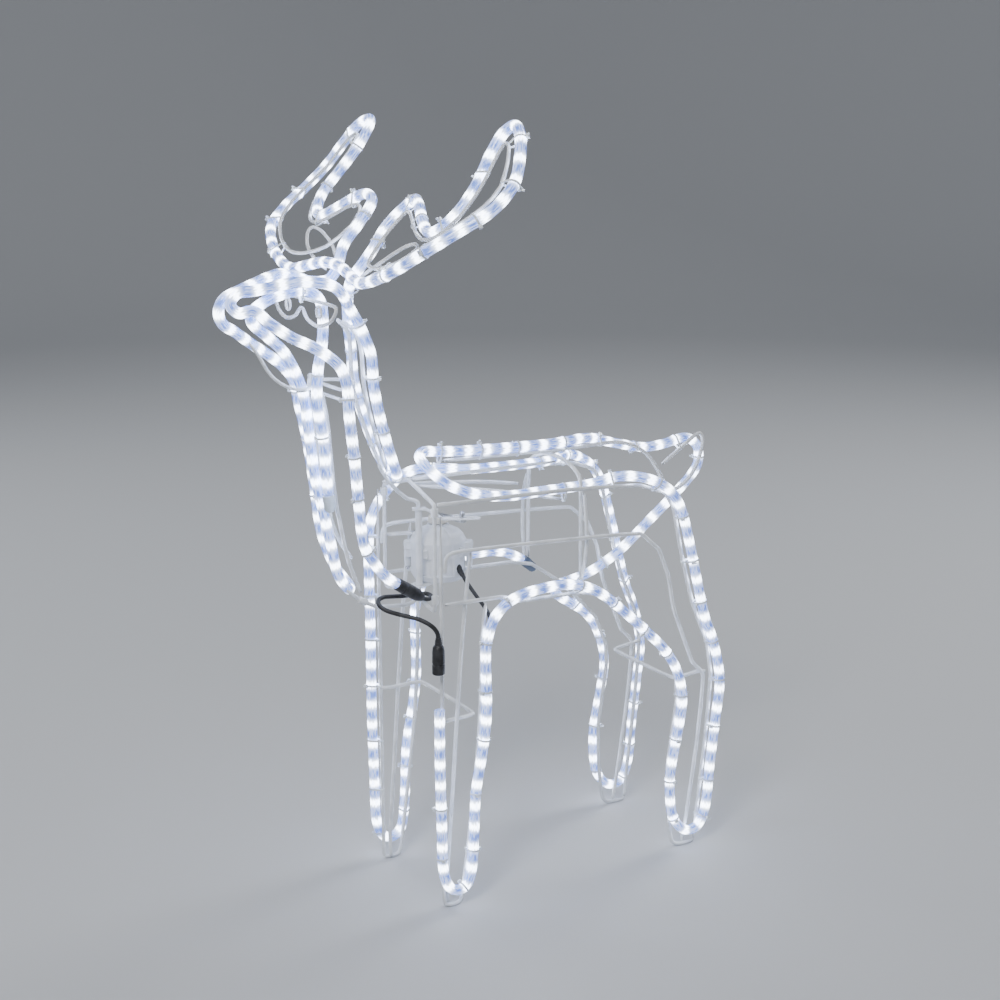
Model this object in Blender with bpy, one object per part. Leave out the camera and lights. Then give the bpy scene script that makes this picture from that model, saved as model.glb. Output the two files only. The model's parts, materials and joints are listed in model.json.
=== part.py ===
"""Light up yard reindeer: white wire frame, rope light, swinging neck and gear motor.

Metres. +Z is up, the animal faces -Y, +X is the animal's left side.
"""
import bpy
import bmesh
import math
from mathutils import Vector

# ------------------------------------------------------------------ driving dimensions
MM = 0.001
OBJECT_NAME = "yard_reindeer"
Y_SHIFT = -115.16 * MM         # puts the middle of the length on the origin

WIRE_R = 2.5 * MM              # white coated steel wire
THIN_R = 2.0 * MM              # wire of the face and ears
FOOT_Z = 2.165                 # a six sided bar of WIRE_R lies on its flat at this height, mm
ROPE_R = 6.5 * MM              # 13 mm rope light
SIDE_X = 84.0                  # centre of the side frame wires, mm from the middle
ROPE_X = 93.3                  # centre of the ropes on the side frames
INNER_X = 78.7                 # wires welded on the inner face of the side frames
ROD_X = 67.0                   # hinge rods of the front frame
HOOP_X = 64.0                  # legs of the mid hoop
HOOP_Y = 220.0
HOOP_SPRING_Z = 522.0
HOOP_RISE = 27.0

NECK_AXIS = (0.0, 20.0)        # upright axis the neck swings about, mm
MOTOR_AXIS = (-20.0, 58.0)     # output shaft of the gear motor, mm
CRANK_PIN = (25.0, 68.0)       # drive pin at rest, mm
MOTOR_R = 35.0
MOTOR_BOTTOM = 404.0
MOTOR_SEAM = 442.0
MOTOR_TOP = 474.0
LUG_TURN = math.radians(60)    # direction of the housing's screw lugs


# ------------------------------------------------------------------ scene set-up
for old in list(bpy.data.objects):
    bpy.data.objects.remove(old, do_unlink=True)

parts = bpy.data.collections.new(OBJECT_NAME)
cutters = bpy.data.collections.new("cutters")
bpy.context.scene.collection.children.link(parts)
bpy.context.scene.collection.children.link(cutters)


def make_material(name, colour, rough, metal=0.0):
    mat = bpy.data.materials.new(name)
    mat.use_nodes = True
    bsdf = mat.node_tree.nodes["Principled BSDF"]
    bsdf.inputs["Base Color"].default_value = (*colour, 1.0)
    bsdf.inputs["Roughness"].default_value = rough
    bsdf.inputs["Metallic"].default_value = metal
    return mat


COLOURS = {
    "wire": ((0.86, 0.88, 0.90), 0.42, 0.0),
    "rope": ((0.84, 0.90, 0.98), 0.18, 0.0),
    "black": ((0.03, 0.03, 0.035), 0.45, 0.0),
    "smoke": ((0.20, 0.24, 0.30), 0.30, 0.0),
    "housing": ((0.88, 0.88, 0.87), 0.45, 0.0),
    "cream": ((0.86, 0.82, 0.72), 0.45, 0.0),
    "steel": ((0.62, 0.64, 0.66), 0.35, 1.0),
}


def own_material(name, kind):
    colour, rough, metal = COLOURS[kind]
    return make_material(name + "_" + kind, colour, rough, metal)


# ------------------------------------------------------------------ route helpers
def to_world(p):
    return Vector((p[0] * MM, p[1] * MM + Y_SHIFT, p[2] * MM))


def mirror(points):
    return [(-p[0], p[1], p[2]) for p in points]


def side(points, x, sign):
    """Points given as (y, z) in a plane at x on one side."""
    return [(sign * x, p[0], p[1]) for p in points]


def catmull(points, steps, closed=False):
    """Centripetal-like smooth curve through hand placed points."""
    pts = [Vector(p) for p in points]
    count = len(pts)
    out = []
    last = count if closed else count - 1
    for i in range(last):
        if closed:
            p0, p1, p2, p3 = (pts[(i + k - 1) % count] for k in range(4))
        else:
            p1 = pts[i]
            p2 = pts[i + 1]
            p0 = pts[i - 1] if i > 0 else p1 * 2 - p2
            p3 = pts[i + 2] if i + 2 < count else p2 * 2 - p1
        d1 = max((p2 - p1).length, 1e-6)
        m1 = (p2 - p0) * (d1 / max((p2 - p1).length + (p1 - p0).length, 1e-6))
        m2 = (p3 - p1) * (d1 / max((p3 - p2).length + (p2 - p1).length, 1e-6))
        for s in range(steps):
            t = s / steps
            a = 2 * t ** 3 - 3 * t ** 2 + 1
            b = t ** 3 - 2 * t ** 2 + t
            c = -2 * t ** 3 + 3 * t ** 2
            d = t ** 3 - t ** 2
            out.append(p1 * a + m1 * b + p2 * c + m2 * d)
    if not closed:
        out.append(pts[-1].copy())
    return out


def thin_out(pts, tol):
    """Drops points that lie on a straight line between their neighbours."""
    if len(pts) < 3:
        return pts
    a, b = pts[0], pts[-1]
    ab = b - a
    worst, where = 0.0, 0
    for i in range(1, len(pts) - 1):
        ap = pts[i] - a
        if ab.length > 1e-9:
            off = (ap - ab * (ap.dot(ab) / ab.length_squared)).length
        else:
            off = ap.length
        if off > worst:
            worst, where = off, i
    if worst <= tol:
        return [a, b]
    return thin_out(pts[: where + 1], tol)[:-1] + thin_out(pts[where:], tol)


def fillet(points, radius, steps=3):
    """Straight runs joined by arcs, as in bent wire."""
    pts = [Vector(p) for p in points]
    out = [pts[0]]
    for prev, here, nxt in zip(pts, pts[1:], pts[2:]):
        a = prev - here
        b = nxt - here
        angle = a.angle(b)
        if angle > math.radians(174):
            out.append(here)
            continue
        reach = radius / math.tan(angle / 2)
        reach = min(reach, a.length * 0.48, b.length * 0.48)
        start = here + a.normalized() * reach
        end = here + b.normalized() * reach
        for s in range(steps + 1):
            t = s / steps
            out.append(start * (1 - t) ** 2 + here * 2 * t * (1 - t) + end * t ** 2)
    out.append(pts[-1])
    return out


def tube(name, points, radius, kind, res=1, closed=False):
    """Solid round bar along points in mm: one closed mesh."""
    data = bpy.data.curves.new(name, "CURVE")
    data.dimensions = "3D"
    data.bevel_depth = radius
    data.bevel_resolution = res
    data.use_fill_caps = not closed
    data.resolution_u = 1
    data.render_resolution_u = 0
    data.twist_mode = "MINIMUM"
    spline = data.splines.new("POLY")
    spline.points.add(len(points) - 1)
    for slot, p in zip(spline.points, points):
        slot.co = (*to_world(p), 1.0)
    spline.use_cyclic_u = closed
    spline.use_smooth = True
    data.materials.append(own_material(name, kind))
    obj = bpy.data.objects.new(name, data)
    parts.objects.link(obj)
    return obj


def bent(name, points, kind="wire", radius=WIRE_R, bend=14.0, steps=2):
    return tube(name, fillet(points, bend, steps), radius, kind)


def flow(name, points, kind="wire", radius=WIRE_R, steps=3, tol=0.5, closed=False, res=1):
    pts = catmull(points, steps, closed)
    if not closed:
        pts = thin_out(pts, tol)
    return tube(name, pts, radius, kind, res, closed)


def mesh_object(name, bm, kind, smooth=False):
    bmesh.ops.recalc_face_normals(bm, faces=bm.faces[:])
    mesh = bpy.data.meshes.new(name)
    bm.to_mesh(mesh)
    bm.free()
    for poly in mesh.polygons:
        poly.use_smooth = smooth
    mesh.materials.append(own_material(name, kind))
    obj = bpy.data.objects.new(name, mesh)
    parts.objects.link(obj)
    return obj


def solid_turn(name, profile, centre, kind, segments=24):
    """Turned solid whose profile starts and ends on the axis."""
    bm = bmesh.new()
    bottom = bm.verts.new(to_world((centre[0], centre[1], profile[0][1])))
    top = bm.verts.new(to_world((centre[0], centre[1], profile[-1][1])))
    rings = []
    for rad, height in profile:
        ring = []
        for k in range(segments):
            a = 2 * math.pi * k / segments
            p = (centre[0] + rad * math.cos(a), centre[1] + rad * math.sin(a), height)
            ring.append(bm.verts.new(to_world(p)))
        rings.append(ring)
    for k in range(segments):
        n = (k + 1) % segments
        bm.faces.new((bottom, rings[0][n], rings[0][k]))
        bm.faces.new((top, rings[-1][k], rings[-1][n]))
        for lo, hi in zip(rings, rings[1:]):
            bm.faces.new((lo[k], lo[n], hi[n], hi[k]))
    return mesh_object(name, bm, kind, True)


def sleeve_along(name, start, end, inner, outer, kind, segments=12):
    """Hollow sleeve between two points, mm; radii in mm."""
    a, b = Vector(start), Vector(end)
    axis = (b - a).normalized()
    ref = Vector((0, 0, 1)) if abs(axis.z) < 0.9 else Vector((1, 0, 0))
    u = axis.cross(ref).normalized()
    v = axis.cross(u)
    bm = bmesh.new()
    rings = []
    for centre, rad in ((a, inner), (a, outer), (b, outer), (b, inner)):
        ring = []
        for k in range(segments):
            t = 2 * math.pi * k / segments
            ring.append(bm.verts.new(to_world(centre + (u * math.cos(t) + v * math.sin(t)) * rad)))
        rings.append(ring)
    for k in range(segments):
        n = (k + 1) % segments
        for i in range(4):
            j = (i + 1) % 4
            bm.faces.new((rings[i][k], rings[i][n], rings[j][n], rings[j][k]))
    return mesh_object(name, bm, kind, True)


def rod_between(name, stations, kind, segments=12):
    """Solid turned body along a line: stations are (point mm, radius mm)."""
    first, last = Vector(stations[0][0]), Vector(stations[-1][0])
    axis = (last - first).normalized()
    ref = Vector((0, 0, 1)) if abs(axis.z) < 0.9 else Vector((1, 0, 0))
    u = axis.cross(ref).normalized()
    v = axis.cross(u)
    bm = bmesh.new()
    rings = []
    for point, rad in stations:
        ring = []
        for k in range(segments):
            t = 2 * math.pi * k / segments
            off = (u * math.cos(t) + v * math.sin(t)) * rad
            ring.append(bm.verts.new(to_world(Vector(point) + off)))
        rings.append(ring)
    bm.faces.new(rings[0])
    bm.faces.new(list(reversed(rings[-1])))
    for lo, hi in zip(rings, rings[1:]):
        for k in range(segments):
            n = (k + 1) % segments
            bm.faces.new((lo[k], lo[n], hi[n], hi[k]))
    return mesh_object(name, bm, kind, True)


def plate(name, outline, z_of, thick, kind, slot=None):
    """Flat strip: outline is (x, y) mm; z_of gives its underside height."""
    bm = bmesh.new()

    def add_loop(loop, lift):
        return [bm.verts.new(to_world((x, y, z_of(x, y) + lift))) for x, y in loop]

    low, high = add_loop(outline, 0.0), add_loop(outline, thick)
    count = len(outline)
    for i in range(count):
        j = (i + 1) % count
        bm.faces.new((low[i], low[j], high[j], high[i]))
    if slot is None:
        bm.faces.new(low)
        bm.faces.new(list(reversed(high)))
    else:
        slot_low, slot_high = add_loop(slot, 0.0), add_loop(slot, thick)
        for i in range(count):
            j = (i + 1) % count
            bm.faces.new((slot_low[i], slot_high[i], slot_high[j], slot_low[j]))
            bm.faces.new((low[j], low[i], slot_low[i], slot_low[j]))
            bm.faces.new((high[i], high[j], slot_high[j], slot_high[i]))
    return mesh_object(name, bm, kind)


def stadium(start, end, half_width, per_end=6):
    """Long round-ended outline from start to end, counter-clockwise."""
    a, b = Vector((*start, 0)), Vector((*end, 0))
    heading = math.atan2(b.y - a.y, b.x - a.x)
    loop = []
    for centre, turn in ((b, -math.pi / 2), (a, math.pi / 2)):
        for k in range(per_end + 1):
            t = heading + turn + math.pi * k / per_end
            loop.append((centre.x + half_width * math.cos(t), centre.y + half_width * math.sin(t)))
    return loop


# ------------------------------------------------------------------ side frames
def side_frame(tag, s):
    # front leg: down the front, along the foot, up the back
    bent("wire_front_leg_" + tag, side([
        (5, 525), (5, FOOT_Z), (31, FOOT_Z), (45, 110), (58, 215), (61, 300), (62, 352), (68, 396),
    ], SIDE_X, s), bend=9.0)
    # middle stiffener of the front leg, on the inner face
    bent("wire_front_mid_" + tag, side([
        (50, 468), (35, 345), (22, 150), (13, 40), (14, 2.6),
    ], INNER_X, s), bend=30.0)
    # shoulder to rear foot
    bent("wire_inner_" + tag, side([
        (10.6, 440), (10.6, 465), (50, 465), (255, 456), (301, 452), (329, 427), (345, 390), (355, 342),
        (388, 262), (408, 243), (402, 159), (383, 30), (378, 5.4),
    ], SIDE_X, s), bend=14.0)
    # belly line, front of the rear leg and the rear foot
    bent("wire_belly_" + tag, side([
        (7.9, 400.5), (92, 398.8), (118, 389), (205, 387), (238, 380), (280, 351), (312, 322),
        (344, 288), (362, 245), (364, 215), (357, 165), (351, 125), (352, 70), (360, FOOT_Z), (398, FOOT_Z),
    ], SIDE_X, s), bend=16.0)
    # back line and rear of the rear leg
    bent("wire_back_" + tag, [
        (s * 72.2, 6, 524), (s * 75, 30, 523.5), (s * 76, 200, 522), (s * 79, 300, 515),
        (s * 84, 338, 502), (s * 84, 352, 478), (s * 84, 367, 408), (s * 84, 386, 345),
        (s * 84, 412, 285), (s * 84, 420, 240), (s * 84, 415, 160), (s * 84, 401, 40),
        (s * 84, 398, 5.4),
    ], bend=14.0)
    # bulging rib beside the mid hoop
    flow("wire_rib_" + tag, [
        (s * 69.6, 221, 512), (s * 75, 220, 490), (s * 78.7, 220, 458), (s * 76.5, 219, 425),
        (s * 69.6, 218, 398),
    ], steps=2)
    for level, z in (("upper", 513.0), ("lower", 403.0)):
        sleeve_along("hinge_sleeve_" + level + "_" + tag, (s * ROD_X, 6, z - 5), (s * ROD_X, 6, z + 5),
                     2.8, 4.6, "wire", 10)


side_frame("L", 1)
side_frame("R", -1)

# ------------------------------------------------------------------ cross pieces
# front frame: two hinge rods joined over the top and under the bottom
bent("front_frame", [
    (0.2, 6, 398.5), (8, 6, 398.5), (ROD_X, 6, 386), (ROD_X, 6, 523), (0, 6, 541), (-ROD_X, 6, 523),
    (-ROD_X, 6, 386), (-8, 6, 398.5), (-0.2, 6, 398.5),
], bend=7.0)


def hoop_points():
    pts = [(HOOP_X, HOOP_Y, 394), (HOOP_X, HOOP_Y, HOOP_SPRING_Z)]
    for k in range(1, 12):
        a = math.pi * k / 12
        pts.append((HOOP_X * math.cos(a), HOOP_Y, HOOP_SPRING_Z + HOOP_RISE * math.sin(a)))
    pts.append((-HOOP_X, HOOP_Y, HOOP_SPRING_Z))
    pts.append((-HOOP_X, HOOP_Y, 394))
    return pts


tube("mid_hoop", hoop_points(), WIRE_R, "wire")


def brace(name, end, near_end, corner):
    """U shaped brace between left and right legs; points are (x, y, z)."""
    half = [end, near_end, corner]
    return bent(name, half + mirror(reversed(half)), bend=10.0)


brace("front_brace", (78.4, 3, 246), (73.2, 14, 246), (73.2, 60, 247))
brace("rear_brace", (78.4, 416, 243), (73.2, 404, 243), (73.2, 366, 239))

# spine, rump and tail loop in one wire
flow("spine_tail_wire", [
    (0, 50, 560), (0, 130, 558), (0, 228, 555), (0, 285, 557), (0, 316, 556), (0, 341, 550),
    (0, 364, 537), (0, 382, 516), (0, 396, 493), (0, 410, 479), (0, 430, 487), (0, 446, 502),
    (0, 458, 530), (0, 460, 548), (0, 452, 555), (0, 430, 541), (0, 391.5, 517.5),
], steps=2, tol=0.6)
bent("spine_lower_wire", [(0, 9.5, 541), (0, 60, 541), (0, 226, 540)], bend=8)
for tag, s in (("L", 1), ("R", -1)):
    bent("flank_brace_" + tag, [(s * 6, 9.5, 534.5), (s * 30, 120, 520), (s * 53, 200, 503)])

# ------------------------------------------------------------------ gear motor
MX, MY = MOTOR_AXIS


def housing_shell(name, profile, kind, segments=30):
    """Turned shell with two screw lugs pulled out of its sides."""
    bm = bmesh.new()
    rings = []
    for k in range(segments):
        a = 2 * math.pi * k / segments
        lug = max(0.0, abs(math.cos(a - LUG_TURN)) - 0.94) / 0.06
        flat = 1.0 - 0.05 * max(0.0, math.sin(a)) ** 2
        ring = []
        for rad, height, wall in profile:
            grow = 9.0 * lug if wall else 0.0
            reach = rad * flat + grow
            p = (MX + reach * math.cos(a), MY + reach * math.sin(a), height)
            ring.append(bm.verts.new(to_world(p)))
        rings.append(ring)
    count = len(profile)
    for k in range(segments):
        ra, rb = rings[k], rings[(k + 1) % segments]
        for i in range(count):
            j = (i + 1) % count
            if profile[i][0] or profile[j][0]:
                bm.faces.new((ra[i], rb[i], rb[j], ra[j]))
    bmesh.ops.remove_doubles(bm, verts=bm.verts[:], dist=1e-7)
    return mesh_object(name, bm, kind, False)


housing_shell("motor_cover", [
    (6.0, MOTOR_TOP - 2, 0), (6.0, MOTOR_TOP + 1, 0), (12, MOTOR_TOP + 1, 0), (14, MOTOR_TOP - 2, 0),
    (27, MOTOR_TOP - 6, 0), (33, MOTOR_TOP - 12, 0), (MOTOR_R, MOTOR_SEAM + 10, 0),
    (MOTOR_R, MOTOR_SEAM + 9, 1), (MOTOR_R, MOTOR_SEAM + 0.3, 1), (MOTOR_R - 3, MOTOR_SEAM + 0.3, 0),
    (MOTOR_R - 3, MOTOR_SEAM + 12, 0), (26, MOTOR_TOP - 9, 0),
], "housing")
housing_shell("motor_base", [
    (0.0, MOTOR_BOTTOM, 0), (0.0, MOTOR_BOTTOM + 2.5, 0), (30, MOTOR_BOTTOM + 2.5, 0),
    (MOTOR_R - 3, MOTOR_BOTTOM + 8, 0), (MOTOR_R - 3, MOTOR_SEAM - 0.1, 0),
    (MOTOR_R, MOTOR_SEAM - 0.1, 1), (MOTOR_R, MOTOR_SEAM - 9, 1), (MOTOR_R, MOTOR_SEAM - 12, 0),
    (MOTOR_R, MOTOR_BOTTOM + 7, 0), (31, MOTOR_BOTTOM, 0),
], "housing")
# synchronous motor can standing on the base
solid_turn("motor_can", [(18, MOTOR_BOTTOM + 2.8), (18, MOTOR_BOTTOM + 24), (4, MOTOR_BOTTOM + 24),
                         (4, MOTOR_BOTTOM + 26)], (MX + 8, MY + 6), "steel", 24)
# small gear on the can, meshing level with the output gear
PINION_AT = (MX + 8, MY + 6)


def gear(name, centre, teeth, root, tip, z0, z1, phase, kind):
    bm = bmesh.new()
    loop = []
    for k in range(teeth):
        for frac, rad in ((0.0, root), (0.28, root), (0.42, tip), (0.62, tip), (0.76, root)):
            a = 2 * math.pi * (k + frac + phase) / teeth
            loop.append((centre[0] + rad * math.cos(a), centre[1] + rad * math.sin(a)))
    low = [bm.verts.new(to_world((x, y, z0))) for x, y in loop]
    high = [bm.verts.new(to_world((x, y, z1))) for x, y in loop]
    count = len(loop)
    for i in range(count):
        j = (i + 1) % count
        bm.faces.new((low[i], low[j], high[j], high[i]))
    bm.faces.new(low)
    bm.faces.new(list(reversed(high)))
    bmesh.ops.remove_doubles(bm, verts=bm.verts[:], dist=1e-7)
    return mesh_object(name, bm, kind)


GEAR_Z0 = MOTOR_BOTTOM + 38.5
gear("output_gear", (MX, MY), 20, 17.0, 19.0, GEAR_Z0, GEAR_Z0 + 6, 0.0, "cream")

# output boss, shaft, crank arm and drive pin: moulded and pressed together
boss_bm_profile = [
    (4.0, GEAR_Z0 + 6.3), (4.0, MOTOR_TOP + 2.2), (12.5, MOTOR_TOP + 2.2), (12.5, MOTOR_TOP + 9.0),
    (11.5, MOTOR_TOP + 10.5),
]
solid_turn("output_boss", boss_bm_profile, (MX, MY), "cream", 20)
ARM_Z = MOTOR_TOP + 10.8
px, py = CRANK_PIN
arm = plate("crank_arm", stadium((MX, MY), (px, py), 5.5), lambda x, y: ARM_Z, 2.5, "steel")
PIN_TOP = ARM_Z + 9.0
pin = solid_turn("drive_pin_form", [(2.0, ARM_Z + 1.0), (2.0, PIN_TOP - 1.8), (3.6, PIN_TOP - 1.8),
                                    (3.6, PIN_TOP)], (px, py), "steel", 12)
parts.objects.unlink(pin)
cutters.objects.link(pin)
pin.hide_render = True
pin.display_type = "WIRE"
rivet = arm.modifiers.new("riveted_pin", "BOOLEAN")
rivet.operation = "UNION"
rivet.solver = "EXACT"
rivet.object = pin

# flat bar that steadies the motor from the shoulder wire
plate("motor_bar", stadium((-74, 16), (-63, 57), 6), lambda x, y: MOTOR_SEAM + 10.6, 2.0, "wire")

# plate under the motor: carries the motor and the foot of the pivot post
AX, AY = NECK_AXIS
def split_sides(loop, pieces):
    """Adds points along the long straight sides of an outline."""
    out = []
    for i, here in enumerate(loop):
        nxt = loop[(i + 1) % len(loop)]
        out.append(here)
        if math.dist(here, nxt) > 12:
            for k in range(1, pieces):
                out.append(tuple(h + (n - h) * k / pieces for h, n in zip(here, nxt)))
    return out


carrier = split_sides(stadium((0, 12), (-22, 66), 10), 8)
hole = []
for corner in carrier:
    ray = Vector((corner[0] - AX, corner[1] - AY)).normalized()
    hole.append((AX + 3.1 * ray.x, AY + 3.1 * ray.y))
plate("motor_plate", carrier, lambda x, y: 401.4, 2.0, "wire", hole)

# upright post the neck turns in
sleeve_along("pivot_post", (AX, AY, 403.8), (AX, AY, 501), 2.9, 4.4, "wire", 16)

# ------------------------------------------------------------------ neck frame
for tag, s in (("L", 1), ("R", -1)):
    flow("neck_chest_wire_" + tag, [
        (s * 41.5, -53, 438), (s * 44.2, -65, 456), (s * 47.5, -75.5, 482), (s * 52, -84.5, 531),
        (s * 57.5, -92, 593), (s * 60.5, -99, 645), (s * 54.5, -98, 676),
    ], steps=2)
    flow("neck_rear_wire_" + tag, [
        (s * 7, -84, 746), (s * 11, -67, 730), (s * 16, -62.5, 704), (s * 16, -61.5, 672),
        (s * 15.5, -55.5, 641), (s * 13, -46.5, 610), (s * 9, -35.5, 579), (s * 6, -26, 556),
    ], steps=2)
    # ear loop
    flow("ear_wire_" + tag, [
        (s * 42, -64, 800), (s * 62, -56, 809), (s * 92, -46, 823), (s * 124, -44, 838),
        (s * 134, -52, 845), (s * 126, -64, 840), (s * 98, -77, 822), (s * 66, -79, 808),
        (s * 46, -77, 801),
    ], radius=THIN_R, steps=2)
flow("neck_front_wire", [
    (0, -62, 405), (0, -76, 440), (0, -87, 490), (0, -96, 540), (0, -100, 600), (0, -106, 650),
    (0, -116, 684),
], steps=2)
# pivot wire: from the back of the neck down into the post
bent("neck_pivot_wire", [
    (0, -36, 566), (0, -22, 543), (0, -9, 528), (0, 4, 517), (AX, AY, 512), (AX, AY, 440),
], bend=7)
# lower arm: from the chest under the front frame and up into the post
bent("neck_lower_wire", [
    (0, -82, 412), (0, -62, 395), (0, -40, 384), (0, 0, 380), (AX, AY, 384), (AX, AY, 434),
], bend=12)
tube("throat_ring", catmull([
    (50, -97, 668), (25, -96, 667), (0, -97, 667), (-25, -96, 667), (-50, -97, 668), (-32, -83, 670),
    (-10, -71, 672), (0, -70, 672), (10, -71, 672), (32, -83, 670),
], 1, True), THIN_R, "wire", 1, True)

# driven lever fixed to the pivot wire, slotted for the drive pin
lever_dir = Vector((px - AX, py - AY, 0)).normalized()


def along(dist):
    return (AX + lever_dir.x * dist, AY + lever_dir.y * dist)


def lever_height(x, y):
    """Steps down from the post top to just over the crank arm."""
    reach = (x - AX) * lever_dir.x + (y - AY) * lever_dir.y
    low, high = ARM_Z + 3.6, 501.5
    t = min(max((reach - 8.0) / 22.0, 0.0), 1.0)
    return high + (low - high) * t


def lever_strip():
    """Strip with the round eye of the pivot wire at one end, slot at the other."""
    bm = bmesh.new()
    normal = Vector((-lever_dir.y, lever_dir.x, 0))
    half, thick = 6.5, 1.6
    eye, slot = 2.9, 2.75

    def vert(d, w, lift):
        x = AX + lever_dir.x * d + normal.x * w
        y = AY + lever_dir.y * d + normal.y * w
        return bm.verts.new(to_world((x, y, lever_height(x, y) + lift)))

    rows = {}
    for lift in (0.0, thick):
        grid = []
        for d in (-8.0, 8.0, 30.0, 35.0, 72.0, 77.0):
            wide = half if d < 77.0 else 3.0
            grid.append([vert(d, w, lift) for w in (-wide, wide)])
        ring_eye = []
        for k in range(12):
            a = 2 * math.pi * (k + 0.5) / 12
            ring_eye.append(vert(eye * math.cos(a), eye * math.sin(a), lift))
        hole = [vert(37.0, -slot, lift), vert(70.0, -slot, lift), vert(70.0, slot, lift),
                vert(37.0, slot, lift)]
        rows[lift] = (grid, ring_eye, hole)
    for lift in (0.0, thick):
        grid, ring_eye, hole = rows[lift]
        up = lift > 0

        def face(*vs):
            bm.faces.new(vs if up else tuple(reversed(vs)))

        # strip around the eye: four corners and twelve ring points
        c = [grid[0][0], grid[1][0], grid[1][1], grid[0][1]]
        groups = {0: range(7, 11), 1: range(10, 14), 2: range(1, 5), 3: range(4, 8)}
        for side_index, span in groups.items():
            a, b = c[side_index], c[(side_index + 1) % 4]
            pts = [ring_eye[i % 12] for i in span]
            face(a, b, *reversed(pts))
        face(grid[1][0], grid[2][0], grid[2][1], grid[1][1])
        face(grid[2][0], grid[3][0], grid[3][1], grid[2][1])
        face(grid[3][0], grid[4][0], hole[1], hole[0])
        face(grid[4][0], grid[4][1], hole[2], hole[1])
        face(grid[4][1], grid[3][1], hole[3], hole[2])
        face(grid[3][1], grid[3][0], hole[0], hole[3])
        face(grid[4][0], grid[5][0], grid[5][1], grid[4][1])
    low, high = rows[0.0], rows[thick]
    outline = [g[0] for g in low[0]] + [g[1] for g in reversed(low[0])]
    outline_hi = [g[0] for g in high[0]] + [g[1] for g in reversed(high[0])]
    for loop_lo, loop_hi in ((outline, outline_hi), (low[1], high[1]), (low[2], high[2])):
        count = len(loop_lo)
        for i in range(count):
            j = (i + 1) % count
            bm.faces.new((loop_lo[i], loop_lo[j], loop_hi[j], loop_hi[i]))
    return mesh_object("drive_lever", bm, "wire")


lever_strip()

# ------------------------------------------------------------------ face
lid = [(-84, -127, 774), (-42, -129, 774.5), (42, -129, 774.5), (84, -127, 774)]
left_arc = [(86, -128, 768), (74, -130, 753), (42, -133, 745), (12, -133, 753), (5, -132, 764)]
tube("eye_wire", catmull(lid + left_arc + mirror(reversed(left_arc)), 1, True), THIN_R, "wire", 1, True)
for tag, s in (("L", 1), ("R", -1)):
    oval = []
    for k in range(10):
        a = 2 * math.pi * k / 10
        oval.append((s * 43 + 6.5 * math.sin(a), -130, 763 - 7 * math.cos(a)))
    tube("pupil_wire_" + tag, oval, 1.6 * MM, "wire", 1, True)
flow("jaw_wire", [
    (0, -200, 728), (0, -188, 712), (0, -178, 692), (0, -160, 675), (0, -140, 667), (0, -118, 668),
], radius=THIN_R, steps=2)
# crown: a small heart shaped loop behind the brow
tube("crown_wire", catmull([
    (0, -60, 782), (14, -61, 790), (19, -62, 800), (13, -63, 805), (4, -63, 802), (0, -63, 798),
    (-4, -63, 802), (-13, -63, 805), (-19, -62, 800), (-14, -61, 790),
], 1, True), THIN_R, "wire", 1, True)

# ------------------------------------------------------------------ antlers
ANTLER = [
    (27, -72, 806), (38, -58, 830), (35, -38, 856), (44, -16, 880), (62, -14, 888), (84, -20, 882),
    (114, -32, 867), (138, -38, 858), (158, -36, 861), (176, -20, 882), (174, 4, 910),
    (165, 26, 940), (166, 42, 964), (178, 50, 974), (200, 44, 966), (218, 34, 946),
    (236, 15, 914), (239, -14, 887), (227, -47, 866), (204, -79, 842), (163, -95, 819),
    (120, -102, 804), (90, -102, 800), (58, -98, 806),
]
ANTLER_INNER = [
    (60, -72, 824), (46, -40, 853), (54, -25, 871), (66, -24, 877), (84, -30, 872),
    (114, -42, 856), (140, -48, 848), (166, -45, 852), (188, -24, 877), (188, 2, 907),
    (179, 24, 936), (182, 37, 958), (197, 33, 953), (208, 25, 939), (224, 8, 910),
    (227, -16, 890), (217, -45, 870), (196, -72, 849), (160, -86, 828), (120, -92, 816),
    (88, -90, 817),
]
for tag, s in (("L", 1), ("R", -1)):
    flow("antler_wire_" + tag, [(s * p[0], p[1], p[2]) for p in ANTLER_INNER],
         radius=THIN_R, steps=1, closed=True)

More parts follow.
